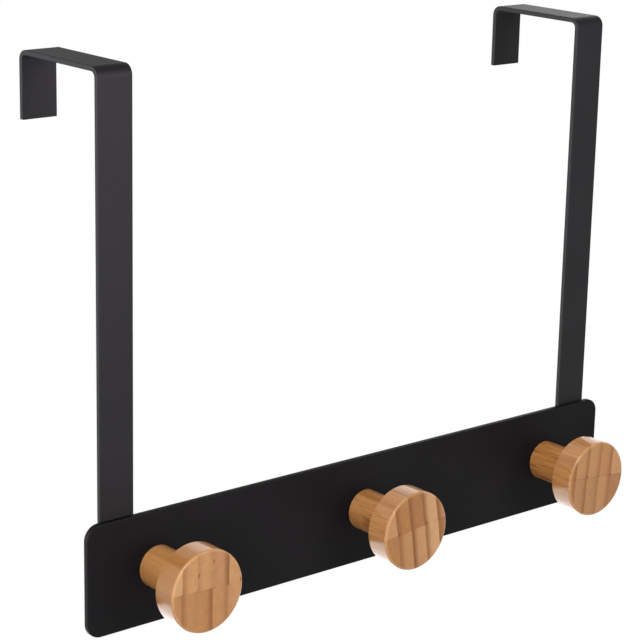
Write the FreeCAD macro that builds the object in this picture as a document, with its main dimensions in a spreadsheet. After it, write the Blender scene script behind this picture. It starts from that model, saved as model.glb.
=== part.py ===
import FreeCAD, Part
import math
import os
import Sketcher
from FreeCAD import Placement, Rotation, Vector

# A coat rack that hangs over a door: a steel plate on two bent steel straps, with three turned
# bamboo knobs screwed on from behind. Millimetres. X runs along the plate, -Y faces the room,
# +Y goes over the door, +Z is up. The origin is the middle of the left hook's seat, the flat
# underside that lies on the door's top edge.

doc = FreeCAD.newDocument("door_rack")

driving_sizes = [
    ("plate_length", 250.0, "plate, end to end"),
    ("plate_height", 41.5, "plate, bottom edge to top edge"),
    ("plate_thickness", 2.0, "plate sheet"),
    ("plate_corner_radius", 5.5, "plate's four corners, seen from the front"),
    ("plate_edge_radius", 0.5, "softened edge round the plate's front"),
    ("strap_width", 14.0, "strap, across its flat"),
    ("strap_thickness", 1.8, "strap, through its flat"),
    ("strap_edge_radius", 0.3, "strap's long edges"),
    ("strap_end_margin", 6.6, "plate's end to the strap's outer edge"),
    ("strap_foot_margin", 3.0, "plate's bottom edge up to the strap's lower end"),
    ("overall_height", 198.0, "plate's bottom edge to the hooks' top"),
    ("door_gap", 43.6, "clear space for the door in each hook"),
    ("bend_radius", 2.0, "inside of each bend"),
    ("back_leg_length", 24.2, "hook's top down to the back leg's end"),
    ("weld_mark_diameter", 5.0, "spot weld's round mark on the strap's back"),
    ("weld_mark_depth", 0.15, "depth of that mark"),
    ("knob_pitch", 95.5, "from one knob to the next"),
    ("neck_diameter", 15.5, "knob's neck"),
    ("neck_length", 19.3, "plate's front to the back of the knob's head"),
    ("head_diameter", 30.0, "knob's head"),
    ("head_thickness", 10.0, "knob's head, back to front"),
    ("head_front_rim_radius", 1.0, "rounding round the head's front"),
    ("head_back_rim_radius", 0.5, "rounding round the head's back"),
    ("screw_diameter", 3.5, "screw's shank over its thread"),
    ("screw_head_diameter", 7.0, "countersunk head at its flat top"),
    ("screw_length", 20.0, "flat of the head to the point"),
    ("screw_point_length", 3.5, "tapered point"),
    ("recess_span", 3.8, "cross recess, tip to tip"),
    ("recess_slot_width", 0.9, "width of each slot of the cross"),
    ("recess_depth", 1.4, "depth of the cross"),
    ("plate_hole_clearance", 0.4, "plate's hole over the screw's shank, on the diameter"),
    ("head_clearance", 0.2, "countersink over the screw's head, on the diameter"),
    ("knob_hole_clearance", 0.1, "knob's hole over the screw's shank, on the diameter"),
    ("knob_hole_spare_depth", 1.0, "knob's hole past the screw's point"),
]

sheet = doc.addObject("Spreadsheet::Sheet", "Sizes")
for row, (alias, value, meaning) in enumerate(driving_sizes, start=1):
    sheet.set(f"A{row}", meaning)
    sheet.set(f"B{row}", str(value))
    sheet.setAlias(f"B{row}", alias)
doc.recompute()

# Places that several pieces share, as formulas over the sheet.
strap_spacing = "(Sizes.plate_length - 2 * Sizes.strap_end_margin - Sizes.strap_width)"
plate_middle = f"({strap_spacing} / 2)"
plate_bottom = "(Sizes.strap_thickness - Sizes.overall_height)"
plate_back = "(-Sizes.door_gap / 2 - Sizes.strap_thickness)"
knob_height = f"({plate_bottom} + Sizes.plate_height / 2)"
lap_height = "(Sizes.plate_height - Sizes.strap_foot_margin)"
screw_head_height = "((Sizes.screw_head_diameter - Sizes.screw_diameter) / 2)"

plane_of = {"across": "XY_Plane", "front": "XZ_Plane", "side": "YZ_Plane"}


def new_body(label):
    body = doc.addObject("PartDesign::Body", label)
    body.Label = label
    return body


def new_sketch(body, name, facing):
    """Start a sketch on one of the body's own origin planes."""
    sketch = body.newObject("Sketcher::SketchObject", name)
    plane = next(item for item in body.Origin.OriginFeatures if item.Role == plane_of[facing])
    sketch.AttachmentSupport = [(plane, "")]
    sketch.MapMode = "FlatFace"
    return sketch


def dimension(sketch, formula, kind, *places):
    """Add a length constraint that follows the sheet."""
    index = sketch.addConstraint(Sketcher.Constraint(kind, *places, 1.0))
    sketch.setExpression(f"Constraints[{index}]", formula)


def draw_profile(sketch, corners):
    """Close an outline through corners given as (across, up) formulas; None lies on that axis."""
    count = len(corners)
    rough = [Vector(10 + index, 10 + index % 3, 0) for index in range(count)]
    for index in range(count):
        sketch.addGeometry(Part.LineSegment(rough[index], rough[(index + 1) % count]), False)
    for index, (across, up) in enumerate(corners):
        sketch.addConstraint(Sketcher.Constraint("Coincident", index, 2, (index + 1) % count, 1))
        for kind, formula, axis in (("DistanceX", across, -2), ("DistanceY", up, -1)):
            if formula is None:
                sketch.addConstraint(Sketcher.Constraint("PointOnObject", index, 1, axis))
            else:
                dimension(sketch, formula, kind, -1, 1, index, 1)


def draw_rectangle(sketch, width, height):
    """A rectangle centred on the sketch's origin."""
    corners = [Vector(-2, -1, 0), Vector(2, -1, 0), Vector(2, 1, 0), Vector(-2, 1, 0)]
    for index in range(4):
        sketch.addGeometry(Part.LineSegment(corners[index], corners[(index + 1) % 4]), False)
    for index in range(4):
        sketch.addConstraint(Sketcher.Constraint("Coincident", index, 2, (index + 1) % 4, 1))
    for index, level in enumerate(("Horizontal", "Vertical", "Horizontal", "Vertical")):
        sketch.addConstraint(Sketcher.Constraint(level, index))
    sketch.addConstraint(Sketcher.Constraint("Symmetric", 0, 1, 1, 2, -1, 1))
    dimension(sketch, width, "DistanceX", 0, 1, 0, 2)
    dimension(sketch, height, "DistanceY", 1, 1, 1, 2)


def edges_where(feature, test):
    """Names of a feature's edges whose points all pass the test."""
    names = []
    for index, edge in enumerate(feature.Shape.Edges, start=1):
        if not edge.Degenerated and all(test(point) for point in edge.discretize(5)):
            names.append(f"Edge{index}")
    return names


def round_edges(body, name, feature, radius, test):
    """Fillet the edges that pass the test, with a radius that follows the sheet."""
    fillet = body.newObject("PartDesign::Fillet", name)
    fillet.Base = (feature, edges_where(feature, test))
    fillet.setExpression("Radius", radius)
    doc.recompute()
    return fillet


def place(body, across, depth, height, turn=Rotation()):
    """Set where a body stands; each coordinate follows the sheet."""
    body.Placement = Placement(Vector(), turn)
    for axis, formula in (("x", across), ("y", depth), ("z", height)):
        body.setExpression(f"Placement.Base.{axis}", formula)


def near(value, target):
    return abs(value - target) < 1e-4


def make_plate():
    """The front plate: sheet with rounded corners and three holes countersunk from the back."""
    body = new_body("back_plate")
    outline = new_sketch(body, "plate_outline", "front")
    draw_rectangle(outline, "Sizes.plate_length", "Sizes.plate_height")
    blank = body.newObject("PartDesign::Pad", "plate_blank")
    blank.Profile = outline
    blank.setExpression("Length", "Sizes.plate_thickness")
    doc.recompute()

    front = -sheet.plate_thickness
    half_length = sheet.plate_length / 2
    half_height = sheet.plate_height / 2
    corners = round_edges(body, "plate_corners", blank, "Sizes.plate_corner_radius",
                          lambda p: near(abs(p.x), half_length) and near(abs(p.z), half_height))
    softened = round_edges(body, "plate_front_edge", corners, "Sizes.plate_edge_radius",
                           lambda p: near(p.y, front))

    centres = new_sketch(body, "screw_hole_centre", "front")
    centres.addGeometry(Part.Circle(Vector(-10, 0, 0), Vector(0, 0, 1), 1), False)
    centres.addConstraint(Sketcher.Constraint("PointOnObject", 0, 3, -1))
    dimension(centres, "Sizes.knob_pitch", "DistanceX", 0, 3, -1, 1)
    dimension(centres, "Sizes.screw_diameter", "Diameter", 0)
    doc.recompute()
    hole = body.newObject("PartDesign::Hole", "screw_hole")
    hole.Profile = centres
    hole.DepthType = "ThroughAll"
    hole.Reversed = True
    hole.HoleCutType = "Countersink"
    hole.HoleCutCustomValues = True
    hole.HoleCutCountersinkAngle = 90
    hole.setExpression("Diameter", "Sizes.screw_diameter + Sizes.plate_hole_clearance")
    hole.setExpression("HoleCutDiameter", "Sizes.screw_head_diameter + Sizes.head_clearance")
    doc.recompute()
    row_of_holes = body.newObject("PartDesign::LinearPattern", "screw_holes")
    row_of_holes.Originals = [hole]
    row_of_holes.Direction = (centres, ["H_Axis"])
    row_of_holes.Occurrences = 3
    row_of_holes.setExpression("Length", "2 * Sizes.knob_pitch")
    body.Tip = row_of_holes
    place(body, plate_middle, plate_back, knob_height)
    doc.recompute()
    assert row_of_holes.Shape.Volume < hole.Shape.Volume < softened.Shape.Volume
    return body


def draw_strap_line(sketch):
    """The strap's middle line: up the room side, over the door and down its far side."""
    lines = [((0, 0), (0, 150)), ((4, 154), (40, 154)), ((44, 150), (44, 130))]
    bends = [((4, 150), 90, 180), ((40, 150), 0, 90)]
    for start, end in lines:
        sketch.addGeometry(Part.LineSegment(Vector(*start, 0), Vector(*end, 0)), False)
    for centre, start, end in bends:
        circle = Part.Circle(Vector(*centre, 0), Vector(0, 0, 1), 4)
        sketch.addGeometry(Part.ArcOfCircle(circle, math.radians(start), math.radians(end)), False)
    front, top, back, front_bend, back_bend = range(5)
    sketch.addConstraint(Sketcher.Constraint("Coincident", front, 1, -1, 1))
    for line, level in ((front, "Vertical"), (top, "Horizontal"), (back, "Vertical")):
        sketch.addConstraint(Sketcher.Constraint(level, line))
    for line, line_end, bend, bend_end in ((front, 2, front_bend, 2), (top, 1, front_bend, 1),
                                           (top, 2, back_bend, 2), (back, 1, back_bend, 1)):
        sketch.addConstraint(Sketcher.Constraint("Tangent", line, line_end, bend, bend_end))
    for bend in (front_bend, back_bend):
        dimension(sketch, "Sizes.bend_radius + Sizes.strap_thickness / 2", "Radius", bend)
    below_bend = "Sizes.strap_thickness - Sizes.bend_radius"
    dimension(sketch, f"Sizes.overall_height - Sizes.strap_foot_margin - {below_bend}", "DistanceY", front, 1, front, 2)
    dimension(sketch, "Sizes.door_gap - 2 * Sizes.bend_radius", "DistanceX", top, 1, top, 2)
    dimension(sketch, f"Sizes.back_leg_length - {below_bend}", "DistanceY", back, 2, back, 1)


def draw_dish(sketch, surface, radius, depth):
    """Half the section of a shallow round dish, from the sketch's level axis up."""
    sketch.addGeometry(Part.LineSegment(Vector(1, 0, 0), Vector(1, 2, 0)), False)
    sketch.addGeometry(Part.LineSegment(Vector(0.5, 0, 0), Vector(1, 0, 0)), False)
    hollow = Part.Circle(Vector(4.75, 0, 0), Vector(0, 0, 1), 4.25)
    sketch.addGeometry(Part.ArcOfCircle(hollow, math.radians(152), math.radians(180)), False)
    rim, axis, curve = range(3)
    for first, second in (((axis, 2), (rim, 1)), ((rim, 2), (curve, 1)), ((curve, 2), (axis, 1))):
        sketch.addConstraint(Sketcher.Constraint("Coincident", *first, *second))
    sketch.addConstraint(Sketcher.Constraint("Vertical", rim))
    for line, point in ((axis, 1), (axis, 2), (curve, 3)):
        sketch.addConstraint(Sketcher.Constraint("PointOnObject", line, point, -1))
    dimension(sketch, surface, "DistanceX", -1, 1, axis, 2)
    dimension(sketch, depth, "DistanceX", axis, 1, axis, 2)
    dimension(sketch, radius, "DistanceY", rim, 1, rim, 2)


def make_strap(label, across):
    """One strap: flat strip with softened edges, swept along its bent middle line."""
    body = new_body(label)
    line = new_sketch(body, f"{label}_line", "side")
    draw_strap_line(line)
    section = new_sketch(body, f"{label}_section", "across")
    draw_rectangle(section, "Sizes.strap_width", "Sizes.strap_thickness")
    doc.recompute()
    strip = body.newObject("PartDesign::AdditivePipe", f"{label}_strip")
    strip.Profile = section
    strip.Spine = (line, [])
    doc.recompute()
    half_width = sheet.strap_width / 2
    softened = round_edges(body, f"{label}_edges", strip, "Sizes.strap_edge_radius",
                           lambda p: near(abs(p.x), half_width))

    mark = new_sketch(body, f"{label}_weld_profile", "side")
    mark.setExpression("AttachmentOffset.Base.y", f"{lap_height} / 4")
    draw_dish(mark, "Sizes.strap_thickness / 2", "Sizes.weld_mark_diameter / 2", "Sizes.weld_mark_depth")
    doc.recompute()
    dish = body.newObject("PartDesign::Groove", f"{label}_weld_mark")
    dish.Profile = mark
    dish.ReferenceAxis = (mark, ["H_Axis"])
    dish.Angle = 360
    doc.recompute()
    marks = body.newObject("PartDesign::LinearPattern", f"{label}_weld_marks")
    marks.Originals = [dish]
    marks.Direction = (mark, ["V_Axis"])
    marks.Occurrences = 2
    marks.setExpression("Length", f"{lap_height} / 2")
    body.Tip = marks
    place(body, across, "-Sizes.door_gap / 2 - Sizes.strap_thickness / 2",
          f"{plate_bottom} + Sizes.strap_foot_margin")
    doc.recompute()
    assert marks.Shape.Volume < dish.Shape.Volume < softened.Shape.Volume < strip.Shape.Volume
    return body


def revolve(body, name, corners):
    """Turn a closed profile about the body's own Y axis."""
    profile = new_sketch(body, f"{name}_profile", "across")
    draw_profile(profile, corners)
    turned = body.newObject("PartDesign::Revolution", name)
    turned.Profile = profile
    turned.ReferenceAxis = (profile, ["V_Axis"])
    turned.Angle = 360
    doc.recompute()
    return turned


def make_knob(label, across):
    """A turned knob: slim neck, wide flat head, and a blind hole for the screw from behind."""
    body = new_body(label)
    neck = "Sizes.neck_diameter / 2"
    head = "Sizes.head_diameter / 2"
    length = "Sizes.neck_length + Sizes.head_thickness"
    bore = "(Sizes.screw_diameter + Sizes.knob_hole_clearance) / 2"
    bore_depth = "Sizes.screw_length - Sizes.plate_thickness + Sizes.knob_hole_spare_depth"
    turned = revolve(body, f"{label}_turned", [
        (bore, None), (neck, None), (neck, "Sizes.neck_length"), (head, "Sizes.neck_length"),
        (head, length), (None, length), (None, bore_depth),
        (bore, f"{bore_depth} - Sizes.screw_point_length")])
    back_rim = sheet.neck_length
    front_rim = sheet.neck_length + sheet.head_thickness
    rim = sheet.head_diameter / 2
    on_rim = lambda p: near(math.hypot(p.x, p.z), rim)
    front = round_edges(body, f"{label}_front_rim", turned, "Sizes.head_front_rim_radius",
                        lambda p: on_rim(p) and near(p.y, front_rim))
    back = round_edges(body, f"{label}_back_rim", front, "Sizes.head_back_rim_radius",
                       lambda p: on_rim(p) and near(p.y, back_rim))
    place(body, across, f"{plate_back} - Sizes.plate_thickness", knob_height, half_turn)
    doc.recompute()
    assert back.Shape.Volume < front.Shape.Volume < turned.Shape.Volume
    return body


def make_screw(label, across):
    """A countersunk screw with a cross recess, its head flush with the plate's back."""
    body = new_body(label)
    shank = "Sizes.screw_diameter / 2"
    turned = revolve(body, f"{label}_turned", [
        (None, None), ("Sizes.screw_head_diameter / 2", None), (shank, screw_head_height),
        (shank, "Sizes.screw_length - Sizes.screw_point_length"), (None, "Sizes.screw_length")])
    slot_outline = new_sketch(body, f"{label}_slot_outline", "front")
    draw_rectangle(slot_outline, "Sizes.recess_span", "Sizes.recess_slot_width")
    slot = body.newObject("PartDesign::Pocket", f"{label}_slot")
    slot.Profile = slot_outline
    slot.setExpression("Length", "Sizes.recess_depth")
    doc.recompute()
    cross = body.newObject("PartDesign::PolarPattern", f"{label}_cross")
    cross.Originals = [slot]
    cross.Axis = (slot_outline, ["N_Axis"])
    cross.Angle = 90
    cross.Occurrences = 2
    body.Tip = cross
    place(body, across, plate_back, knob_height, half_turn)
    doc.recompute()
    assert cross.Shape.Volume < slot.Shape.Volume < turned.Shape.Volume
    return body


def check_document(bodies):
    """Stop if any object failed to compute or any piece isn't one good solid."""
    for item in doc.Objects:
        if "Invalid" in item.State or "Error" in item.State:
            raise RuntimeError(f"{item.Name} did not compute: {item.getStatusString()}")
    for body in bodies:
        shape = body.Shape
        if shape.isNull() or not shape.isValid() or len(shape.Solids) != 1:
            raise RuntimeError(f"{body.Label} is not one valid solid")


half_turn = Rotation(Vector(0, 0, 1), 180)

bodies = [
    make_plate(),
    make_strap("left_strap", "0"),
    make_strap("right_strap", strap_spacing),
]
for side, step in (("left", -1), ("middle", 0), ("right", 1)):
    across = f"{plate_middle} + {step} * Sizes.knob_pitch"
    bodies.append(make_knob(f"knob_{side}", across))
    bodies.append(make_screw(f"screw_{side}", across))
check_document(bodies)

os.makedirs("parts", exist_ok=True)
for body in bodies:
    body.Shape.exportStep(f"parts/{body.Label}.step")
    box = body.Shape.optimalBoundingBox(False)
    print(f"{body.Label}: {body.Shape.Volume:.1f} mm3, {box.XLength:.1f} x {box.YLength:.1f} x {box.ZLength:.1f} mm")
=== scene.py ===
import math
import bpy
from mathutils import Matrix, Vector


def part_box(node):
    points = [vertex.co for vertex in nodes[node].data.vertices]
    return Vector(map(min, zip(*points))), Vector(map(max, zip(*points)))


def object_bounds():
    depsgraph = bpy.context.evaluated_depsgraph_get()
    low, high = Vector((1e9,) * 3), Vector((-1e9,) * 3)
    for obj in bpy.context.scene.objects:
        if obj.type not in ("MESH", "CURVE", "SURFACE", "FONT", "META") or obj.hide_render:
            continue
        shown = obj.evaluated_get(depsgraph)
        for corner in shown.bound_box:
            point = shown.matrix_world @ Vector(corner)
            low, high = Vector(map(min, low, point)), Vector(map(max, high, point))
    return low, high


# An over-door coat rack: black powder-coated steel, three varnished bamboo knobs, plated screws.
# Metres, in the part's own frame: X along the plate, -Y faces the room, +Z up.

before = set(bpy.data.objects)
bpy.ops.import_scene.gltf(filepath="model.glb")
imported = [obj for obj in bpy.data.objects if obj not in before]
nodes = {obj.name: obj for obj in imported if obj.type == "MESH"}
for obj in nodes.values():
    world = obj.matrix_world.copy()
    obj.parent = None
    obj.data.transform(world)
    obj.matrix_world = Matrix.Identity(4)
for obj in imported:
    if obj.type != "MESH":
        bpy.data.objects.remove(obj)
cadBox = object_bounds()
mm = 0.001


# A node's output socket, so that shader maths reads as plain expressions.
class Wire:
    def __init__(self, finish, socket, kind="value"):
        self.finish = finish
        self.socket = socket
        self.kind = kind  # value, vector, colour or shader

    def __add__(self, other):
        return self.finish.maths("ADD", self, other)

    def __radd__(self, other):
        return self.finish.maths("ADD", other, self)

    def __sub__(self, other):
        return self.finish.maths("SUBTRACT", self, other)

    def __rsub__(self, other):
        return self.finish.maths("SUBTRACT", other, self)

    def __mul__(self, other):
        return self.finish.maths("MULTIPLY", self, other)

    def __rmul__(self, other):
        return self.finish.maths("MULTIPLY", other, self)

    def __gt__(self, other):
        return self.finish.maths("GREATER_THAN", self, other)

    def __lt__(self, other):
        return self.finish.maths("LESS_THAN", self, other)


# The nodes of one material or of the room, and the maths between them.
class Finish:
    def __init__(self, owner):
        self.owner = owner
        owner.use_nodes = True
        self.tree = owner.node_tree
        self.tree.nodes.clear()

    def node(self, kind, settings=None, values=None, out=0, gives="value"):
        made = self.tree.nodes.new(f"ShaderNode{kind}")
        for key, setting in (settings or {}).items():
            setattr(made, key, setting)
        for key, value in (values or {}).items():
            self.feed(made.inputs[key], value)
        return Wire(self, made.outputs[out], gives) if made.outputs else made

    def feed(self, socket, value):
        if isinstance(value, Wire):
            self.tree.links.new(value.socket, socket)
        elif socket.type == "RGBA" and len(value) == 3:
            socket.default_value = (*value, 1)
        else:
            socket.default_value = value

    def maths(self, operation, first, second):
        kinds = {item.kind for item in (first, second) if isinstance(item, Wire)}
        if "colour" in kinds:
            settings = {"data_type": "RGBA", "blend_type": operation}
            return self.node("Mix", settings, {0: 1.0, 6: first, 7: second}, out=2, gives="colour")
        if "vector" in kinds:
            return self.node("VectorMath", {"operation": operation}, {0: first, 1: second}, gives="vector")
        return self.node("Math", {"operation": operation}, {0: first, 1: second})

    def single(self, operation, value):
        return self.node("Math", {"operation": operation}, {0: value})

    def larger(self, first, second):
        return self.node("Math", {"operation": "MAXIMUM"}, {0: first, 1: second})

    def blend(self, share, first, second):
        values = {0: share, 6: first, 7: second}
        return self.node("Mix", {"data_type": "RGBA"}, values, out=2, gives="colour")

    def choose(self, share, first, second):
        return self.node("Mix", {"data_type": "FLOAT"}, {0: share, 2: first, 3: second})

    # From 0 at start to 1 at end, and start may be the larger of the two.
    def smooth(self, value, start, end):
        return self.node("MapRange", {"interpolation_type": "SMOOTHSTEP"}, {0: value, 1: start, 2: end})

    def coordinates(self, kind):
        return self.node("TexCoord", out=kind, gives="vector")

    def split(self, vector):
        first = self.node("SeparateXYZ", values={0: vector})
        return [Wire(self, output) for output in first.socket.node.outputs]

    def join(self, x, y, z):
        return self.node("CombineXYZ", values={0: x, 1: y, 2: z}, gives="vector")

    def noise(self, vector, scale, detail=2.0, roughness=0.5):
        values = {"Vector": vector, "Scale": scale, "Detail": detail, "Roughness": roughness}
        return self.node("TexNoise", values=values)

    # Noise drawn out along the knob: cells to the metre across its fibres and along them.
    def grain(self, place, cells, seed=0.0, detail=2.0, roughness=0.5):
        x, y, z = place
        across, along = cells
        return self.noise(self.join(x * across, y * along, z * across + seed), 1.0, detail, roughness)

    def bump(self, height, distance, normal=None):
        values = {"Height": height, "Strength": 1.0, "Distance": distance}
        if normal:
            values["Normal"] = normal
        return self.node("Bump", values=values, gives="vector")

    def surface(self, **values):
        named = {key.replace("_", " "): value for key, value in values.items()}
        shader = self.node("BsdfPrincipled", values=named, gives="shader")
        self.node("OutputMaterial", values={"Surface": shader})
        return self.owner


def newFinish(name):
    return Finish(bpy.data.materials.new(name))


# Steel: black powder coat, satin, with a fine orange peel and faint paler clouds.
powderCoat = {
    "colour": (0.0036, 0.0031, 0.0038),
    "paleColour": (0.0050, 0.0044, 0.0052),
    "paleFade": (0.35, 0.65),
    "cloudShare": 0.7,
    "tint": (1.0, 0.95, 1.0),
    "strapGloss": 0.16,
    "plateGloss": 0.07,
    "roughness": 0.60,
    "peelRoughness": 0.10,
    "cloudRoughness": 0.08,
    "peelSize": 0.9 * mm,
    "peelHeight": 0.020 * mm,
    "grainSize": 0.22 * mm,
    "grainHeight": 0.006 * mm,
    "cloudSize": 30 * mm,
}


def makePowderCoat(name, gloss):
    look = powderCoat
    finish = newFinish(name)
    place = finish.coordinates("Object")
    peel = finish.noise(place, 1 / look["peelSize"])
    grain = finish.noise(place, 1 / look["grainSize"], detail=1.0)
    cloud = finish.noise(place, 1 / look["cloudSize"], detail=3.0)
    pale = cloud * look["cloudShare"] + grain * (1 - look["cloudShare"])
    colour = finish.blend(finish.smooth(pale, *look["paleFade"]), look["colour"], look["paleColour"])
    roughness = look["roughness"] + (peel - 0.5) * look["peelRoughness"]
    roughness = roughness + (cloud - 0.5) * look["cloudRoughness"]
    normal = finish.bump(grain, look["grainHeight"], finish.bump(peel, look["peelHeight"]))
    return finish.surface(Base_Color=colour, Roughness=roughness, Normal=normal,
                          Specular_IOR_Level=gloss, Specular_Tint=look["tint"])


# Screws: zinc plate, a little dull and cloudy, with the fine rings of turning.
zincPlate = {
    "colour": (0.36, 0.36, 0.355),
    "dullColour": (0.24, 0.24, 0.25),
    "dullFade": (0.35, 0.65),
    "roughness": 0.38,
    "roughnessSpread": 0.20,
    "cloudSize": 1.6 * mm,
    "ringPitch": 0.25 * mm,
    "ringHeight": 0.003 * mm,
}


def makeZincPlate(name, centre):
    look = zincPlate
    finish = newFinish(name)
    place = finish.coordinates("Object") - centre
    x, z = finish.split(place)[::2]
    cloud = finish.noise(place, 1 / look["cloudSize"], detail=3.0, roughness=0.6)
    radius = finish.single("SQRT", x * x + z * z)
    rings = finish.single("SINE", radius * (2 * math.pi / look["ringPitch"]))
    colour = finish.blend(finish.smooth(cloud, *look["dullFade"]), look["dullColour"], look["colour"])
    roughness = look["roughness"] + (cloud - 0.5) * look["roughnessSpread"]
    normal = finish.bump(rings, look["ringHeight"])
    return finish.surface(Base_Color=colour, Metallic=1.0, Roughness=roughness, Normal=normal)


# Knobs: laminated bamboo under clear varnish, two rows of strips with their fibres along the knob.
# A fade says where its mark begins and where it is full: how far from a line or spot if it is in mm, and
# otherwise at which values of its pattern.
bamboo = {
    "cream": (0.540, 0.284, 0.122),
    "pale": (0.505, 0.250, 0.091),
    "straw": (0.467, 0.225, 0.085),
    "honey": (0.440, 0.202, 0.065),
    "amber": (0.424, 0.184, 0.054),
    "olive": (0.390, 0.178, 0.055),
    "tan": (0.378, 0.155, 0.036),
    "brown": (0.352, 0.143, 0.035),
    "joint": (0.230, 0.068, 0.003),
    "pore": (0.120, 0.032, 0.003),
    # painted highlight: the lighter tone blended onto the knobs' rims, in place of the light they catch
    "rim": (0.780, 0.500, 0.300),
    "lightCloud": (1.10, 1.10, 1.10),
    "darkCloud": (0.86, 0.82, 0.78),
    "cloudFade": (0.25, 0.75),
    "cloudShare": 0.5,
    "wanderCells": (150, 30),  # this and the next three: cells to the metre, across the fibres and along
    "fibreCells": (2400, 60),
    "cloudCells": (420, 35),
    "streakCells": (3000, 90),
    "wanderWidth": 0.5 * mm,  # how far a joint strays from its straight line
    "wideFade": (5.5 * mm, 0.0),
    "wideDark": 0.25,
    "closeFade": (3.0 * mm, 0.3 * mm),
    "closeDark": 0.78,
    "jointFade": (0.8 * mm, 0.1 * mm),
    "rowFade": (0.35 * mm, 0.05 * mm),
    "rowDark": 0.08,
    "rowStreaks": 0.12,
    "crossDark": 0.4,  # where a joint meets the line between the rows
    "neckStart": -4.6 * mm,  # from the knob's middle
    "sideFade": (0.8, 0.3),  # this and the next two: 1 faces along the knob, 0 faces out from its axis
    "rimFromEnd": (1.0, 0.90),
    "rimFromWall": (0.0, 0.22),
    "sideTone": 0.7,
    "sideJoint": 0.55,
    "sideFibre": 0.25,
    "fibreDark": 0.30,
    "bundleDensity": 2100.0,
    "bundleStretch": 0.02,
    "bundleFade": (0.35, 0.10),
    "bundleDark": 0.10,
    "bundleStreaks": 0.12,
    "streakFade": (0.54, 0.64),
    "streakDark": 0.7,
    "headStreaks": 0.65,
    "smudgeStreaks": 0.10,
    "smudgeFade": (7.0 * mm, 2.0 * mm),
    "fleckFade": (0.75 * mm, 0.2 * mm),
    "fleckStretch": 0.45,
    "fleckDark": 0.6,
    "rimHighlightShare": 0.22,
    "woodRoughness": 0.42,
    "fibreRoughness": 0.2,
    "markRoughness": 0.1,
    "reliefHeight": 0.012 * mm,
    "fibreRelief": 0.5,
    "jointRelief": 0.5,
    "gloss": 0.05,
    "varnish": 0.9,
    "rimVarnish": 0.50,
    "varnishRoughness": 0.16,
}
# A row: the slant of its joints, the tones of its strips from left to right, and the joints between them,
# each with its place and how dark the wood turns towards it on its left and its right. Places and heights
# are in mm from the knob's middle, a fleck's as (x, z) and a smudge's as (x, y, z).
knobLooks = {
    "knob_left": {
        "rowHeight": 1.0, "rowSlope": -0.035, "seed": 3.0, "streaks": 0.15, "smudge": None,
        "flecks": ((-3.9, 6.9), (2.45, 10.5), (14.0, 1.4)),
        "side": "brown", "neck": "honey",
        "upper": {"slant": 0.0, "tones": ("cream", "pale", "pale", "straw", "pale"),
                  "joints": ((-10.7, 0, 0.5), (-4.45, 0, 0.3), (2.55, 0.3, 0.2), (9.0, 0.85, 0))},
        "lower": {"slant": 0.0, "tones": ("honey", "honey", "amber", "honey", "straw"),
                  "joints": ((-11.2, 0.1, 0.6), (-4.6, 0.15, 0), (1.95, 0.8, 0), (8.6, 0.4, 0.1))}},
    "knob_middle": {
        "rowHeight": 1.2, "rowSlope": 0.108, "seed": 11.0, "streaks": 0.6, "smudge": (-7.5, 3.0, -1.0),
        "flecks": ((-8.3, 0.7), (5.0, 2.4)),
        "side": "straw", "neck": "straw",
        "upper": {"slant": 0.170, "tones": ("straw", "tan", "brown", "cream", "straw"),
                  "joints": ((-9.1, 0, 0.75), (-2.55, 0, 0.9), (4.15, 0.1, 0.9), (10.95, 0, 0.9))},
        "lower": {"slant": 0.132, "tones": ("tan", "honey", "straw", "cream", "brown"),
                  "joints": ((-8.9, 0, 0.7), (-2.35, 0, 1.0), (4.35, 0, 0.8), (10.95, 0, 0.6))}},
    "knob_right": {
        "rowHeight": 1.1, "rowSlope": -0.09, "seed": 23.0, "streaks": 1.0, "smudge": None,
        "flecks": ((-5.5, 2.3), (7.8, 0.2)),
        "side": "straw", "neck": "amber",
        "upper": {"slant": -0.096, "tones": ("tan", "honey", "honey", "amber", "straw"),
                  "joints": ((-11.9, 0.7, 0), (-5.2, 0.6, 0), (1.45, 0.55, 0), (7.95, 0.6, 0))},
        "lower": {"slant": -0.061, "tones": ("tan", "olive", "olive", "honey", "brown"),
                  "joints": ((-11.9, 0.5, 0), (-5.45, 0.7, 0), (1.1, 0.45, 0), (7.8, 0.6, 0))}},
}


# Each strip has its own tone and darkens towards a joint on the side where the culm was densest.
def makeStrips(finish, look, isUpper, across):
    lower, upper = look["lower"], look["upper"]
    tones = [finish.blend(isUpper, bamboo[under], bamboo[over])
             for under, over in zip(lower["tones"], upper["tones"])]
    tone = tones[0]
    depth = 0.0
    nearJoint = 0.0
    for nextTone, under, over in zip(tones[1:], lower["joints"], upper["joints"]):
        place, left, right = (finish.choose(isUpper, *pair) for pair in zip(under, over))
        before = place * mm - across
        isBefore = before > 0.0
        away = finish.single("ABSOLUTE", before)
        wide = finish.smooth(away, *bamboo["wideFade"]) * bamboo["wideDark"]
        close = finish.smooth(away, *bamboo["closeFade"]) * bamboo["closeDark"]
        depth = (wide + close) * finish.choose(isBefore, right, left) + depth
        nearJoint = finish.larger(finish.smooth(away, *bamboo["jointFade"]), nearJoint)
        tone = finish.blend(isBefore, nextTone, tone)
    return tone, depth, nearJoint


# How much a smudge shows at this place: 1 at its middle and 0 away from it, or 0 on a knob without one.
def makeSmudge(finish, look, place):
    if not look["smudge"]:
        return 0.0
    ends = {0: finish.join(*place), 1: [value * mm for value in look["smudge"]]}
    away = finish.node("VectorMath", {"operation": "DISTANCE"}, ends, out=1)
    return finish.smooth(away, *bamboo["smudgeFade"])


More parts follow.
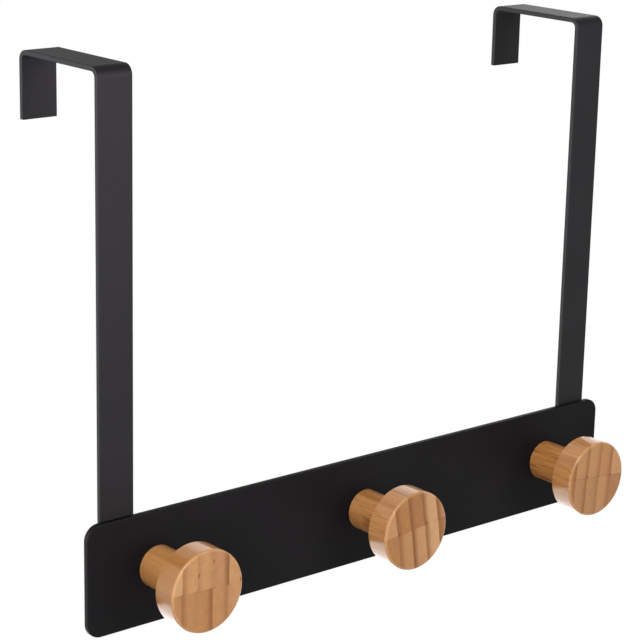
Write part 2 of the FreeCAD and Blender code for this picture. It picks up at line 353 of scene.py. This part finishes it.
def makeBamboo(name, centre):
    look = knobLooks[name]
    streaks, seed = look["streaks"], look["seed"]
    finish = newFinish(f"{name}Bamboo")
    place = finish.split(finish.coordinates("Object") - centre)
    x, y, z = place
    above = z - x * look["rowSlope"] - look["rowHeight"] * mm
    isUpper = above > 0.0
    slant = finish.choose(isUpper, look["lower"]["slant"], look["upper"]["slant"])
    wander = finish.grain(place, bamboo["wanderCells"], seed)
    across = x + z * slant + (wander - 0.5) * bamboo["wanderWidth"]
    tone, depth, nearJoint = makeStrips(finish, look, isUpper, across)
    nearRow = finish.smooth(finish.single("ABSOLUTE", above), *bamboo["rowFade"])

    # The knob's turned sides have a tone of their own, and its rims get a painted highlight: a lighter tone
    # blended in all round.
    facing = finish.single("ABSOLUTE", finish.split(finish.coordinates("Normal"))[1])
    isSide = finish.smooth(facing, *bamboo["sideFade"])
    isRim = finish.smooth(facing, *bamboo["rimFromEnd"]) * finish.smooth(facing, *bamboo["rimFromWall"])
    isNeck = y > bamboo["neckStart"]
    sideTone = finish.blend(isNeck, bamboo[look["side"]], bamboo[look["neck"]])
    tone = finish.blend(isSide * bamboo["sideTone"], tone, sideTone)

    # Fibres run along the knob: streaks on its sides, fine bundles on its ends.
    fibre = finish.grain(place, bamboo["fibreCells"], detail=3.0, roughness=0.6)
    cloud = finish.grain(place, bamboo["cloudCells"], seed)
    streak = finish.grain(place, bamboo["streakCells"], seed, detail=1.0)
    smudge = makeSmudge(finish, look, place)
    streakiness = finish.larger(finish.choose(isNeck, streaks * bamboo["headStreaks"], streaks), smudge)
    streak = streak + smudge * bamboo["smudgeStreaks"]
    lines = finish.smooth(streak, *bamboo["streakFade"]) * isSide * streakiness
    stretched = finish.join(x, y * bamboo["bundleStretch"], z)
    bundles = finish.node("TexVoronoi", values={"Vector": stretched, "Scale": bamboo["bundleDensity"]})
    dots = finish.smooth(bundles, *bamboo["bundleFade"]) * (1 - isSide)

    body = finish.blend(finish.smooth(cloud, *bamboo["cloudFade"]) * bamboo["cloudShare"],
                        tone * bamboo["lightCloud"], tone * bamboo["darkCloud"])
    shade = (1 - isSide * bamboo["sideJoint"]) * depth
    shade = shade + (fibre - 0.5) * (bamboo["fibreDark"] + isSide * bamboo["sideFibre"])
    shade = shade + dots * (bamboo["bundleDark"] + streaks * bamboo["bundleStreaks"])
    body = finish.blend(shade, body, bamboo["joint"])
    rowShade = bamboo["rowDark"] + streaks * bamboo["rowStreaks"] + nearJoint * bamboo["crossDark"]
    marks = finish.larger(nearRow * rowShade, lines * bamboo["streakDark"])
    for fleckX, fleckZ in look["flecks"]:
        aside = finish.single("ABSOLUTE", x - fleckX * mm)
        aside = aside + finish.single("ABSOLUTE", z - fleckZ * mm) * bamboo["fleckStretch"]
        fleck = finish.smooth(aside, *bamboo["fleckFade"]) * (1 - isSide) * bamboo["fleckDark"]
        marks = finish.larger(fleck, marks)
    # Painted highlight: a lighter tone blended onto the rims all round.
    paintedRimHighlight = finish.blend(isRim * bamboo["rimHighlightShare"], body, bamboo["rim"])
    colour = finish.blend(marks, paintedRimHighlight, bamboo["pore"])
    roughness = bamboo["woodRoughness"] + (fibre - 0.5) * bamboo["fibreRoughness"]
    roughness = roughness + marks * bamboo["markRoughness"]
    relief = fibre * bamboo["fibreRelief"] - marks - depth * bamboo["jointRelief"]
    normal = finish.bump(relief, bamboo["reliefHeight"])
    varnish = bamboo["varnish"] - isRim * (bamboo["varnish"] - bamboo["rimVarnish"])
    return finish.surface(Base_Color=colour, Roughness=roughness, Normal=normal,
                          Specular_IOR_Level=bamboo["gloss"], Coat_Weight=varnish,
                          Coat_Roughness=bamboo["varnishRoughness"])


def wear(name, material):
    slots = nodes[name].material_slots
    for slot in slots:
        slot.material = material
    if not slots:
        nodes[name].data.materials.append(material)


def centreOf(name):
    low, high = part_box(name)
    return tuple((low + high) / 2)


wear("back_plate", makePowderCoat("platePowderCoat", powderCoat["plateGloss"]))
strapCoat = makePowderCoat("strapPowderCoat", powderCoat["strapGloss"])
wear("left_strap", strapCoat)
wear("right_strap", strapCoat)
for side in ("left", "middle", "right"):
    wear(f"knob_{side}", makeBamboo(f"knob_{side}", centreOf(f"knob_{side}")))
    wear(f"screw_{side}", makeZincPlate(f"screw_{side}Zinc", centreOf(f"screw_{side}")))
print("finishes made")


# Studio: a white floor under the hanging rack and a white room round it, both at full white for the camera.
# Varnish and sheen mirror them too, dimmer in front of the rack and overhead. Near the rack a little of the
# floor's own paint shows, and with it the rack's shadow. The floor's fades are in metres, and the room's are
# parts of a direction of length 1.
studio = {
    "floorSize": 12.0,
    "floorGap": 0.12,
    "floorColour": (0.90, 0.90, 0.90),
    "floorShadow": 0.03,
    "shadowFade": (1.2, 0.4),
    "floorFront": (-0.05, -0.40),
    "roomFront": (0.10, -0.40),
    "roomCeiling": (0.10, 0.35),
    "roomLight": 0.30,
    "frontShade": 0.9,
    "ceilingShade": 0.3,
}


def seenWhite(finish, shade):
    camera, glossy, transmission = (
        finish.node("LightPath", out=f"Is {kind} Ray") for kind in ("Camera", "Glossy", "Transmission"))
    return finish.larger(camera, finish.larger(glossy, transmission) * (1 - shade))


def makeFloor():
    half = studio["floorSize"] / 2
    level = cadBox[0].z - studio["floorGap"]
    corners = [(x, y, level) for x, y in ((-half, -half), (half, -half), (half, half), (-half, half))]
    mesh = bpy.data.meshes.new("floor")
    mesh.from_pydata(corners, [], [(0, 1, 2, 3)])
    floor = bpy.data.objects.new("floor", mesh)
    bpy.context.scene.collection.objects.link(floor)
    finish = newFinish("paleFloor")
    paint = finish.node("BsdfDiffuse", values={"Color": studio["floorColour"]}, gives="shader")
    white = finish.node("Emission", values={"Color": (1, 1, 1), "Strength": 1.0}, gives="shader")
    place = finish.coordinates("Object")
    inFront = finish.smooth(finish.split(place)[1], *studio["floorFront"])
    away = finish.node("VectorMath", {"operation": "LENGTH"}, {0: place}, out=1)
    shadow = finish.smooth(away, *studio["shadowFade"]) * studio["floorShadow"]
    share = seenWhite(finish, inFront * studio["frontShade"]) * (1 - shadow)
    shown = finish.node("MixShader", values={0: share, 1: paint, 2: white}, gives="shader")
    finish.node("OutputMaterial", values={"Surface": shown})
    mesh.materials.append(finish.owner)
    return floor


def makeRoom():
    world = bpy.data.worlds.new("whiteRoom")
    bpy.context.scene.world = world
    room = Finish(world)
    forward, height = room.split(room.coordinates("Generated"))[1:]
    front = room.smooth(forward, *studio["roomFront"]) * studio["frontShade"]
    ceiling = room.smooth(height, *studio["roomCeiling"]) * studio["ceilingShade"]
    strength = room.choose(seenWhite(room, room.larger(front, ceiling)), studio["roomLight"], 1.0)
    light = room.node("Background", values={"Color": (1, 1, 1), "Strength": strength}, gives="shader")
    room.node("OutputWorld", values={"Surface": light})


# Soft lamps, aimed at the rack's middle unless told otherwise. The wood and the floor have a key lamp, a
# fill and two lamps that show only in the varnish. The steel, which is all sheen, has its own key lamp and
# five that show only in its sheen.
middle = (cadBox[0] + cadBox[1]) / 2
lamps = {
    "woodKey": {
        "lights": "wood", "place": (-1.34, -1.49, 1.88), "size": (1.2, 1.2), "watts": 75.0},
    "fillLamp": {
        "lights": "wood", "place": (2.00, 0.60, 0.30), "size": (1.2, 1.2), "watts": 24.0,
        "mirrored": False},
    "skySheen": {
        "lights": "wood", "place": (0.90, 0.95, 0.25), "size": (1.0, 1.0), "watts": 2.8,
        "sheenOnly": True},
    "woodGlow": {
        "lights": "wood", "place": (0.18, 0.12, -0.30), "size": (0.56, 0.18), "watts": 0.60,
        "sheenOnly": True, "aim": (0.18, 0.12, 0.0)},
    "steelKey": {
        "lights": "steel", "place": (-2.05, -1.90, 0.60), "size": (1.2, 1.2), "watts": 77.0},
    "nearSheen": {
        "lights": "steel", "place": (0.20, -0.52, 0.07), "size": (0.4, 0.4), "watts": 5.8,
        "sheenOnly": True},
    "leftSheen": {
        "lights": "steel", "place": (-0.16, -0.36, -0.10), "size": (0.25, 0.25), "watts": 1.2,
        "sheenOnly": True},
    "sideSheen": {
        "lights": "steel", "place": (-1.15, 0.40, 0.05), "size": (0.6, 0.6), "watts": 50.0,
        "sheenOnly": True},
    "backSheen": {
        "lights": "steel", "place": (0.90, 0.35, 0.08), "size": (0.6, 0.6), "watts": 3.6,
        "sheenOnly": True},
    "floorGlow": {
        "lights": "steel", "place": (0.18, 0.12, -0.30), "size": (0.56, 0.18), "watts": 1.0,
        "sheenOnly": True, "aim": (0.18, 0.12, 0.0)},
}


def makeGroup(name, pieces):
    group = bpy.data.collections.new(name)
    for piece in pieces:
        group.objects.link(piece)
    return group


def makeLamp(name, look, lit):
    lamp = bpy.data.lights.new(name, "AREA")
    lamp.shape = "RECTANGLE"
    lamp.size, lamp.size_y = look["size"]
    lamp.energy = look["watts"]
    holder = bpy.data.objects.new(name, lamp)
    bpy.context.scene.collection.objects.link(holder)
    holder.location = look["place"]
    towards = Vector(look.get("aim", middle)) - Vector(look["place"])
    holder.rotation_euler = towards.to_track_quat("-Z", "Y").to_euler()
    holder.visible_camera = False
    holder.visible_glossy = look.get("mirrored", True)
    holder.visible_diffuse = not look.get("sheenOnly", False)
    holder.light_linking.receiver_collection = lit


floor = makeFloor()
makeRoom()
knobs = [node for name, node in nodes.items() if name.startswith("knob")]
groups = {
    "wood": makeGroup("wood", knobs + [floor]),
    "steel": makeGroup("steel", [node for node in nodes.values() if node not in knobs]),
}
for name, look in lamps.items():
    makeLamp(name, look, groups[look["lights"]])
print("studio lit")


# Camera: where the photograph was taken from, in degrees and metres, with its lens and sensor in mm.
camera = {
    "azimuth": -39.94,
    "elevation": 15.57,
    "roll": 1.25,
    "aim": (0.1061, -0.0033, -0.1057),
    "distance": 0.8154,
    "nearest": 0.01,
    "lens": 122.39,
    "sensor": 36.0,
}


def makeCamera():
    turn = math.radians(camera["azimuth"])
    rise = math.radians(camera["elevation"])
    roll = math.radians(camera["roll"])
    away = Vector((math.sin(turn) * math.cos(rise), -math.cos(turn) * math.cos(rise), math.sin(rise)))
    right = Vector((math.cos(turn), math.sin(turn), 0))
    up = away.cross(right)
    rolledRight = right * math.cos(roll) + up * math.sin(roll)
    rolledUp = up * math.cos(roll) - right * math.sin(roll)
    lens = bpy.data.cameras.new("camera")
    lens.lens = camera["lens"]
    lens.sensor_width = camera["sensor"]
    lens.sensor_fit = "HORIZONTAL"
    lens.clip_start = camera["nearest"]
    holder = bpy.data.objects.new("camera", lens)
    bpy.context.scene.collection.objects.link(holder)
    holder.matrix_world = Matrix((rolledRight, rolledUp, away)).transposed().to_4x4()
    holder.location = Vector(camera["aim"]) + away * camera["distance"]
    bpy.context.scene.camera = holder


makeCamera()
bpy.context.scene.view_settings.view_transform = "Standard"
